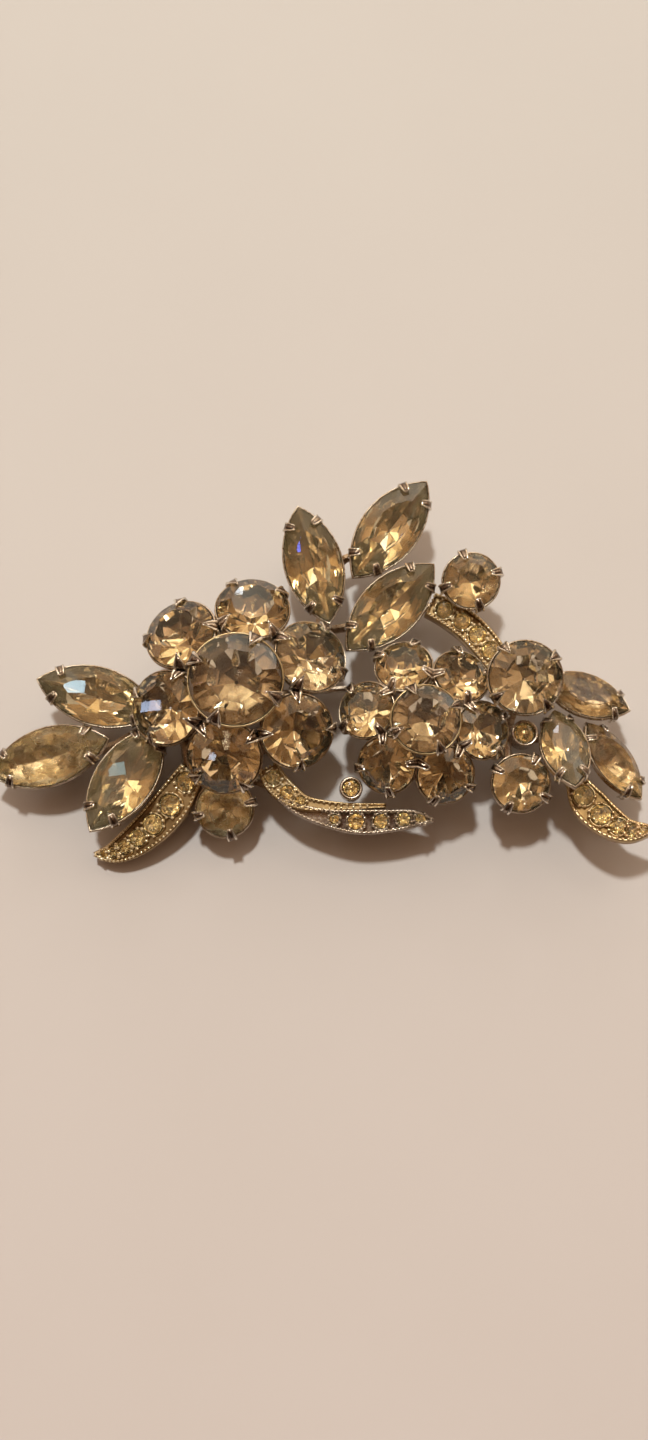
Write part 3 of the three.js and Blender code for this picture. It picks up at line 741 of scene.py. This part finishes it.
def build_collet(name, diameter, height, matrix):
    """A small stone in a plain round collet with a rolled rim."""
    bm = small_stone_mesh(diameter, 10)
    bm.transform(matrix)
    set_stone(name + "_stone", bm, MELEE)
    seat = diameter / 2 + SEAT_GAP
    outside = seat + COLLET_WALL
    steps = [(outside - 0.25, -height), (outside - 0.02, -height + 0.2), (outside, -0.3), (outside, 0.12),
             (outside - 0.06, 0.26), (outside - 0.16, COLLET_RIM), (seat + 0.1, COLLET_RIM),
             (seat + 0.02, 0.24), (seat, 0.1), (seat, -COLLET_BORE)]
    bm = bmesh.new()
    add_rings(bm, [ring(matrix, radius, z, 40) for radius, z in steps])
    set_metal(name + "_setting", bm, (SILVER,))


def build_collets():
    for name, (diameter, height, matrix) in COLLETS.items():
        build_collet(name, diameter, height, matrix)


# ---- Flowers ----

def petal_places(flower):
    """The places of a flower's petal stones, each leaning outwards."""
    for i in range(PETALS):
        heading = flower["first"] + i * 360 / PETALS
        x = flower["at"][0] + flower["ring"] * math.cos(math.radians(heading))
        y = flower["at"][1] + flower["ring"] * math.sin(math.radians(heading))
        yield place(x, y, flower["petal_z"], PETAL_LEAN, heading, heading)


def add_prism(bm, corners, bottom, top):
    """An upright prism over a closed outline."""
    add_rings(bm, [[Vector((x, y, z)) for x, y in corners] for z in (bottom, top)])


def add_frame_ring(bm, centre, radius, bottom):
    """The frame's flat ring, bevelled at its edges."""
    inside, outside = radius - FRAME_WIDTH / 2, radius + FRAME_WIDTH / 2
    section = [(inside + FRAME_BEVEL, bottom), (outside - FRAME_BEVEL, bottom),
               (outside, bottom + FRAME_BEVEL), (outside, FRAME_TOP - FRAME_BEVEL),
               (outside - FRAME_BEVEL, FRAME_TOP), (inside + FRAME_BEVEL, FRAME_TOP),
               (inside, FRAME_TOP - FRAME_BEVEL), (inside, bottom + FRAME_BEVEL)]
    rings = [ring(Matrix.Translation(centre), r, z, 64) for r, z in section]
    add_rings(bm, rings + [rings[0]], close_ends=False)


def add_spoke(bm, centre, radius, heading, bottom):
    """A bar across the whole ring, a hair thinner than the ring."""
    turn = Matrix.Rotation(math.radians(heading), 3, "Z")
    half = FRAME_WIDTH / 2
    corners = [turn @ Vector((x, y, 0)) + centre
               for x, y in ((-radius, -half), (radius, -half), (radius, half), (-radius, half))]
    add_prism(bm, [(c.x, c.y) for c in corners], bottom + SPOKE_STEP, FRAME_TOP - SPOKE_STEP)


def flower_frame(flower):
    """The back ring and its spokes, with the petal cups on posts."""
    petal = Round(flower["petal"])
    depth = cup_depth(petal)
    radius = flower["ring"] - depth * math.sin(math.radians(PETAL_LEAN))
    centre = Vector((*flower["at"], 0))
    bottom = FRAME_TOP - FRAME_THICKNESS
    bm = bmesh.new()
    add_frame_ring(bm, centre, radius, bottom)
    for i in range(PETALS // 2):
        add_spoke(bm, centre, radius, flower["first"] + i * 360 / PETALS, bottom)
    for matrix in petal_places(flower):
        add_setting(bm, petal, matrix)
        foot = matrix @ Vector((0, 0, -depth))
        post = [(foot.x + x, foot.y + y) for x, y in circle(PETAL_POST_RADIUS, 16)]
        add_prism(bm, post, FRAME_TOP - PETAL_POST_SINK, FRAME_TOP + PETAL_POST_HEIGHT)
        mark_new_faces(bm, 0)
    bmesh.ops.remove_doubles(bm, verts=bm.verts, dist=1e-5)
    return bm


def build_flower(side, flower):
    """A frame with its petal stones, each turned at random, and the heart over them."""
    set_metal(side + "_flower_frame", flower_frame(flower), (PLATE, CLAW, HOLLOW_SHADE))
    for name, matrix in zip(PETAL_NAMES[side], petal_places(flower)):
        turned = matrix @ Matrix.Rotation(random.uniform(0, math.pi), 4, "Z")
        look = PALE_ROUND if (side, name) == PALE_PETAL else CLEAR_ROUND
        node = f"{side}_petal_{name}_stone"
        set_cut_stone(node, Round(flower["petal"]), turned, look)
    heart = Round(flower["heart"])
    foot = flower["heart_z"] - cup_depth(heart) - FRAME_TOP - HEART_CLEARANCE
    matrix = place(*flower["heart_at"], flower["heart_z"], spin=flower["heart_spin"])
    set_pair(side + "_heart", heart, matrix, HEART, STONE_TURN, foot, plate=BRONZE)


# ---- Pave bars ----

Finish = namedtuple("Finish", "plate channel shelf grains")
GOLD_LEAF = Finish(BRONZE, CHANNEL, BAR_SHELF, GRAINS)
COPPER_LEAF = Finish(BRONZE, BROWN_CHANNEL, BAR_SHELF, COPPER_GRAINS)
# The silver leaf's channel uses the dark hollow_shade metal: painted shade in the gaps between its stones.
SILVER_LEAF = Finish(SILVER, HOLLOW_SHADE, LOW_SHELF, SILVER_GRAINS)

# Each leaf of a bar has a finish, its middle line as (x, y, width), and its stones as (share of the way
# along, diameter). A bar leans about the first point of its first leaf.
BARS = {
    "lower_left_pave_bar": {
        "z": 5.6, "lean": 13.1, "towards": 222,
        "leaves": [
            (GOLD_LEAF,
             [(-16.3, -9.7, 3.4), (-18.9, -13.6, 4.7), (-22.4, -17.2, 4.4), (-26.1, -19.6, 3),
              (-29.1, -20, 0.5)],
             [(0.10, 2.5), (0.27, 2.8), (0.43, 2.6), (0.565, 2.2), (0.68, 1.9), (0.78, 1.5), (0.86, 1.1)])]},
    "lower_pave_bar": {
        "z": 6.2, "lean": 0, "towards": 0,
        "leaves": [
            (GOLD_LEAF,
             [(-6.9, -9.2, 2.7), (-5.9, -11.1, 3), (-4.2, -12.7, 2.7), (-1.9, -13.8, 1.8), (2.6, -14.1, 0.9),
              (7.6, -14, 0.5)],
             [(0.15, 1.9), (0.36, 1.8), (0.53, 1.3)]),
            (SILVER_LEAF,
             [(-5.6, -13.1, 0.6), (-2.8, -14.6, 1.5), (0.7, -15.6, 2.3), (4.1, -16, 3), (7.7, -15.9, 2.8),
              (11, -15.6, 2.1), (13.4, -15.8, 0.5)],
             [(0.36, 1.2), (0.49, 2.0), (0.63, 1.8), (0.765, 1.7), (0.88, 1.3)])]},
    "upper_pave_bar": {
        "z": 5.8, "lean": 0, "towards": 0,
        "leaves": [
            (GOLD_LEAF,
             [(13.4, 11.6, 3.1), (15.9, 10.3, 3.5), (18.3, 8.5, 3.7), (20.2, 6.4, 3.7), (21.9, 4, 3.4)],
             [(0.18, 2.2), (0.40, 2.2), (0.62, 2.3), (0.83, 2.2)])]},
    "lower_right_pave_bar": {
        "z": 5.8, "lean": 14, "towards": 150,
        "leaves": [
            (COPPER_LEAF,
             [(30.9, -10.9, 2.6), (32.2, -13.5, 4.2), (34.3, -15.8, 4), (36.6, -17.2, 3), (38.8, -17.3, 1.7),
              (40.2, -17.1, 0.5)],
             [(0.15, 2.5), (0.35, 2.6), (0.52, 2.1), (0.66, 1.6), (0.78, 1.1)])]},
}


def spline(values, t):
    """A smooth curve through evenly spaced values, at t from 0 to 1."""
    spans = len(values) - 1
    at = min(int(t * spans), spans - 1)
    u = t * spans - at
    p = [values[min(max(at + k, 0), spans)] for k in (-1, 0, 1, 2)]
    return 0.5 * (2 * p[1] + (p[2] - p[0]) * u + (2 * p[0] - 5 * p[1] + 4 * p[2] - p[3]) * u ** 2
                  + (3 * p[1] - p[0] - 3 * p[2] + p[3]) * u ** 3)


class Leaf:
    """A flat leaf along a smooth line, on a plane whose origin is at root; matrix places that plane."""

    def __init__(self, line, matrix, root):
        self.points = [Vector((x, y)) for x, y, _ in line]
        self.widths = [width for _, _, width in line]
        self.matrix = matrix
        self.root = root

    def middle(self, t):
        """The point of the middle line at t, from 0 to 1."""
        return spline(self.points, t)

    def side(self, t):
        """The direction across the leaf."""
        ahead = self.middle(min(t + 0.01, 1)) - self.middle(max(t - 0.01, 0))
        return Vector((-ahead.y, ahead.x)).normalized()

    def half(self, t):
        """Half the leaf's width."""
        return max(spline(self.widths, t) / 2, TIP_HALF_WIDTH)

    def rim(self, t):
        """A rim's width, as a share of the half width."""
        return min(BAR_RIM / self.half(t), RIM_LIMIT)

    def length(self):
        points = [self.middle(i / LENGTH_STEPS) for i in range(LENGTH_STEPS + 1)]
        return sum((after - before).length for before, after in zip(points, points[1:]))

    def at(self, t, across):
        """The layout point at t along and across from the middle, as a share of the half width."""
        return self.middle(t) + self.side(t) * self.half(t) * across

    def lift(self, point, z):
        """A layout point set on the leaf's plane, at height z."""
        return self.matrix @ Vector((point.x - self.root.x, point.y - self.root.y, z))


def add_leaf(bm, leaf):
    """A channelled casting: smooth walls, two rims and a sunk floor between them."""
    rings = []
    for i in range(LEAF_STEPS + 1):
        t = i / LEAF_STEPS
        rim = leaf.rim(t)
        section = [(-0.9, -BAR_THICKNESS), (0.9, -BAR_THICKNESS), (1, -BAR_THICKNESS + 0.15),
                   (1, -0.1), (1 - rim * 0.3, 0), (1 - rim, -0.02), (1 - rim * 1.1, BAR_FLOOR),
                   (-1 + rim * 1.1, BAR_FLOOR), (-1 + rim, -0.02), (-1 + rim * 0.3, 0), (-1, -0.1),
                   (-1, -BAR_THICKNESS + 0.15)]
        rings.append([leaf.lift(leaf.at(t, across), z) for across, z in section])
    add_rings(bm, rings)


def add_leaf_floor(bm, leaf, shelf, stones):
    """The metal along a leaf's channel: a shelf between the stones, and a deep well under each of them."""
    steps = int(leaf.length() / SHELF_GRID)
    wells = [(leaf.at(t, 0), diameter / 2 + SEAT_WALL / 2) for t, diameter in stones]
    rings = []
    for i in range(steps + 1):
        t = SHELF_MARGIN + (1 - 2 * SHELF_MARGIN) * i / steps
        width = 1 - SHELF_TUCK * leaf.rim(t)
        points = [leaf.at(t, width * (1 - 2 * k / SHELF_CELLS)) for k in range(SHELF_CELLS + 1)]
        heights = [LOW_SHELF if any((point - middle).length < radius for middle, radius in wells) else shelf
                   for point in points]
        points += [points[-1], points[0]]
        heights += [SHELF_ROOT, SHELF_ROOT]
        rings.append([leaf.lift(point, z) for point, z in zip(points, heights)])
    add_rings(bm, rings)


def add_bead(bm, centre, radius):
    bmesh.ops.create_icosphere(bm, subdivisions=1, radius=radius, matrix=Matrix.Translation(centre))


def add_edge_beads(bm, leaf):
    """The milled beading along both rims, and across a broad root."""
    count = int(leaf.length() / (BEAD_PITCH * BEAD))
    for i in range(count):
        t = (i + 0.5) / count
        if leaf.half(t) < BEADED_HALF_WIDTH:
            continue
        for sign in (1, -1):
            point = leaf.at(t, sign * (1 - BEAD * BEAD_INSET / leaf.half(t)))
            add_bead(bm, leaf.lift(point, BEAD_HEIGHT), BEAD)
    across = int(2 * leaf.half(0) / (BEAD_PITCH * BEAD)) if leaf.half(0) > 1 else 0
    for k in range(1, across):
        add_bead(bm, leaf.lift(leaf.at(ROOT_BEADS_AT, 2 * k / across - 1), BEAD_HEIGHT), BEAD)


def add_seat(bm, matrix, radius):
    """The round wall that a small stone rests in, from the channel's floor up to its edge."""
    section = [(radius + 0.04, BAR_FLOOR), (radius + SEAT_WALL, BAR_FLOOR), (radius + SEAT_WALL, -0.14),
               (radius + 0.12, -0.04), (radius + 0.04, -0.1)]
    rings = [ring(matrix, r, z, 24) for r, z in section]
    add_rings(bm, rings + [rings[0]], close_ends=False)


def add_grains(bm, leaf, t, diameter):
    """Grains of metal raised over a stone's edge."""
    side = leaf.side(t)
    turn = math.atan2(side.y, side.x)
    radius = diameter / 2 + GRAIN * GRAIN_OUT
    for degrees in GRAIN_HEADINGS:
        angle = turn + math.radians(degrees)
        point = leaf.at(t, 0) + Vector((radius * math.cos(angle), radius * math.sin(angle)))
        add_bead(bm, leaf.lift(point, GRAIN_HEIGHT), GRAIN * random.uniform(*GRAIN_SPREAD))


def add_mesh_copy(target, source, matrix):
    """Adds the mesh of source, placed by matrix, to target, and frees source."""
    source.transform(matrix)
    copied = bpy.data.meshes.new("copied")
    source.to_mesh(copied)
    target.from_mesh(copied)
    source.free()
    bpy.data.meshes.remove(copied)


def build_bar(name, bar):
    """A bar's casting, its beading and its stones. Each of its leaves has its own finish."""
    finishes = [finish for finish, _, _ in bar["leaves"]]
    x, y, _ = bar["leaves"][0][1][0]
    root = Vector((x, y))
    matrix = place(x, y, bar["z"], bar["lean"], bar["towards"])
    casting, beads, stones = bmesh.new(), bmesh.new(), bmesh.new()
    for number, (finish, line, row) in enumerate(bar["leaves"]):
        leaf = Leaf(line, matrix, root)
        add_leaf(casting, leaf)
        mark_new_faces(casting, number)
        add_leaf_floor(casting, leaf, finish.shelf, row)
        mark_new_faces(casting, len(finishes) + number)
        add_edge_beads(beads, leaf)
        for t, diameter in row:
            point = leaf.at(t, 0) - root
            spot = matrix @ Matrix.Translation((point.x, point.y, -STONE_DROP))
            spot = spot @ Matrix.Rotation(random.uniform(0, 1), 4, "Z")
            add_mesh_copy(stones, small_stone_mesh(diameter), spot)
            add_seat(casting, spot, diameter / 2)
            add_grains(beads, leaf, t, diameter)
        mark_new_faces(casting, number)
        mark_new_faces(beads, number)
    set_metal(name, casting, [finish.plate for finish in finishes] + [finish.channel for finish in finishes])
    beading = finish_piece("beads_" + name, beads, [finish.grains for finish in finishes])
    melee = finish_piece("melee_" + name, stones, MELEE, smooth=False)


def build_bars():
    for name, bar in BARS.items():
        build_bar(name, bar)


# ---- Carried-over CAD nodes ----

PLATED_NODES = ("left_leaf_stem", "upper_leaf_stem", "right_spray_stem", "hinge_bracket", "catch_housing")
STEEL_NODES = ("hinge_rivet", "pin_stem", "catch_roller")
PLATED_BEVEL = 0.08
STEEL_BEVEL = 0.04
SOFT_EDGE_ANGLE = 40


def dress(node, material, bevel):
    """A CAD node shown as it is, with softened edges."""
    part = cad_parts[node]
    part.data.materials.clear()
    part.data.materials.append(material)
    softened = part.modifiers.new("soft edges", "BEVEL")
    softened.width = bevel * MM
    softened.segments = 2
    softened.limit_method = "ANGLE"
    softened.angle_limit = math.radians(SOFT_EDGE_ANGLE)
    part.data.shade_smooth()


def dress_nodes():
    for node in PLATED_NODES:
        dress(node, PLATE, PLATED_BEVEL)
    for node in STEEL_NODES:
        dress(node, STEEL, STEEL_BEVEL)


# ---- Scene ----

WARM_WHITE = (1.0, 0.97, 0.93)
LAMP_WHITE = (1.0, 0.96, 0.90)

# Lights: place in metres, width and height in metres, power in watts, colour.
LAMPS = {
    "key": ((-0.16, 0.72, 1.44), (0.12, 0.12), 17.4, (0.985, 1.0, 0.93)),
    "window_left": ((-0.30, 1.22, 0.62), (0.13, 0.17), 0.62, WARM_WHITE),
    "window_right": ((0.42, 1.20, 0.52), (0.12, 0.16), 0.5, WARM_WHITE),
    "lamp_west": ((-0.95, 0.85, 0.80), (0.10, 0.10), 0.45, LAMP_WHITE),
    "lamp_east": ((0.95, 0.95, 0.70), (0.10, 0.10), 0.45, LAMP_WHITE),
}

# Glints: the stone that mirrors them, a point on its table, width and height, colour and radiance.
GLINT_DISTANCE = 300
GLINTS = {
    "glint_upper_left": ("upper_left_leaf", (3.3, -0.1, 1.3), (10, 4.5), (0.62, 0.88, 1.0), 16),
    "glint_lower_left": ("lower_left_leaf", (-0.2, -1.2, 1.3), (6, 4.5), (0.45, 0.80, 0.85), 6),
    "glint_upper": ("upper_leaf", (2.8, 1.4, 1.3), (2.2, 6), (0.12, 0.18, 1.0), 18),
    "glint_west": ("west", (1.1, -0.6, 1.6), (3.6, 7.5), (0.62, 0.74, 1.0), 12),
    "glint_north": ("north", (1.4, 2.0, 1.6), (3, 3.5), (0.85, 0.92, 1.0), 14),
    "glint_south": ("south", (-0.2, -1.2, 1.6), (2.5, 2.5), (0.72, 0.82, 1.0), 12),
    "glint_middle_right": ("middle_right_leaf", (-2.6, -0.7, 1.0), (2.2, 5), (0.75, 0.84, 1.0), 9),
}

# The room: brightness rises along a direction and with a patchy noise, through these tones.
ROOM_RISE = (0.10, 0.80, 0.30)
ROOM_PATCH_SCALE = 4.6
ROOM_PATCH_WEIGHT = 2.6
ROOM_RANGE = (0.4, 2.5)
ROOM_STRENGTH = 3.2
ROOM_TONES = [(0.0, (0.006, 0.003, 0.002)), (0.34, (0.025, 0.012, 0.006)), (0.56, (0.088, 0.049, 0.026)),
              (0.72, (0.25, 0.160, 0.098)), (0.84, (0.50, 0.395, 0.27)), (0.94, (0.88, 0.83, 0.71))]
BACKDROP = (0.185, 0.155, 0.135)


def build_floor():
    """A broad flat sheet of pale paper."""
    bm = bmesh.new()
    count = PAPER_CELLS + 1
    for i in range(count):
        for j in range(count):
            bm.verts.new(((i / PAPER_CELLS - 0.5) * PAPER_SIZE, (j / PAPER_CELLS - 0.5) * PAPER_SIZE, 0))
    bm.verts.ensure_lookup_table()
    for i in range(PAPER_CELLS):
        for j in range(PAPER_CELLS):
            k = i * count + j
            bm.faces.new([bm.verts[n] for n in (k, k + count, k + count + 1, k + 1)])
    bm.transform(Matrix.Scale(MM, 4))
    mesh = bpy.data.meshes.new("paper_sheet")
    bm.to_mesh(mesh)
    bm.free()
    mesh.materials.append(PAPER)
    sheet = bpy.data.objects.new("paper_sheet", mesh)
    sheet.location.z = -PAPER_DROP * MM
    bpy.context.scene.collection.objects.link(sheet)


def build_camera():
    """A camera over the near side of the brooch, tilted ten degrees from straight down."""
    data = bpy.data.cameras.new("camera")
    data.sensor_fit = "VERTICAL"
    data.angle = math.radians(CAMERA_FIELD)
    data.clip_start = CAMERA_CLIP * MM
    camera = bpy.data.objects.new("camera", data)
    camera.location = TO_ROW @ Vector(CAMERA_AT)
    camera.rotation_euler = (math.radians(CAMERA_TILT), 0, 0)
    bpy.context.scene.collection.objects.link(camera)
    bpy.context.scene.camera = camera


def add_light(name, position, size, power, colour, target=(0, 0, 0)):
    """A rectangular light that faces a point of the brooch."""
    data = bpy.data.lights.new(name, "AREA")
    data.shape = "RECTANGLE"
    data.size, data.size_y = size
    data.energy = power
    data.color = colour
    light = bpy.data.objects.new(name, data)
    light.location = position
    light.rotation_euler = (Vector(target) - Vector(position)).to_track_quat("-Z", "Y").to_euler()
    bpy.context.scene.collection.objects.link(light)


def add_glint(name, matrix, at, size, colour, radiance):
    """A small panel placed where a stone's table mirrors it into the camera; at is a point on that table."""
    spot = TO_ROW @ matrix @ Vector(at)
    normal = (matrix.to_3x3() @ Vector((0, 0, 1))).normalized()
    view = (bpy.context.scene.camera.location - spot).normalized()
    mirrored = 2 * normal.dot(view) * normal - view
    position = spot + mirrored * GLINT_DISTANCE * MM
    width, height = (side * MM for side in size)
    add_light(name, position, (width, height), radiance * math.pi * width * height, colour, spot)


def build_lights():
    """A key light, two pale windows beyond the brooch, a lamp on each side, and the cool glints."""
    for name, (position, size, power, colour) in LAMPS.items():
        add_light(name, position, size, power, colour)
    mirrors = dict(zip(PETAL_NAMES["left"], petal_places(LEFT_FLOWER)))
    for name, (_, _, matrix) in NAVETTES.items():
        mirrors[name] = matrix
    for name, (stone, at, size, colour, radiance) in GLINTS.items():
        add_glint(name, mirrors[stone], at, size, colour, radiance)


def build_room():
    """The uneven room that the stones reflect, bright beyond the far edge. The camera sees a plain tone."""
    world = bpy.data.worlds.new("room")
    world.use_nodes = True
    tree = world.node_tree
    heading = tree.nodes.new("ShaderNodeTexCoord").outputs["Generated"]
    along = tree.nodes.new("ShaderNodeVectorMath")
    along.operation = "DOT_PRODUCT"
    along.inputs[1].default_value = ROOM_RISE
    tree.links.new(heading, along.inputs[0])
    patches = tree.nodes.new("ShaderNodeTexNoise")
    patches.inputs["Scale"].default_value = ROOM_PATCH_SCALE
    patches.inputs["Detail"].default_value = 2
    tree.links.new(heading, patches.inputs["Vector"])
    uneven = tree.nodes.new("ShaderNodeMath")
    uneven.operation = "MULTIPLY_ADD"
    uneven.inputs[1].default_value = ROOM_PATCH_WEIGHT
    tree.links.new(patches.outputs["Fac"], uneven.inputs[0])
    tree.links.new(along.outputs["Value"], uneven.inputs[2])
    tone = ramp(tree, stretch(tree, uneven.outputs["Value"], *ROOM_RANGE), ROOM_TONES)
    path = tree.nodes.new("ShaderNodeLightPath")
    seen = tree.nodes.new("ShaderNodeMixRGB")
    seen.inputs["Color2"].default_value = (*BACKDROP, 1)
    tree.links.new(path.outputs["Is Camera Ray"], seen.inputs["Fac"])
    tree.links.new(tone, seen.inputs["Color1"])
    background = tree.nodes["Background"]
    background.inputs["Strength"].default_value = ROOM_STRENGTH
    tree.links.new(seen.outputs["Color"], background.inputs["Color"])
    bpy.context.scene.world = world


build_flower("left", LEFT_FLOWER)
build_flower("right", RIGHT_FLOWER)
build_navettes()
build_rounds()
build_collets()
build_bars()
dress_nodes()

build_floor()
build_camera()
build_lights()
build_room()
bpy.context.scene.view_settings.view_transform = "Standard"
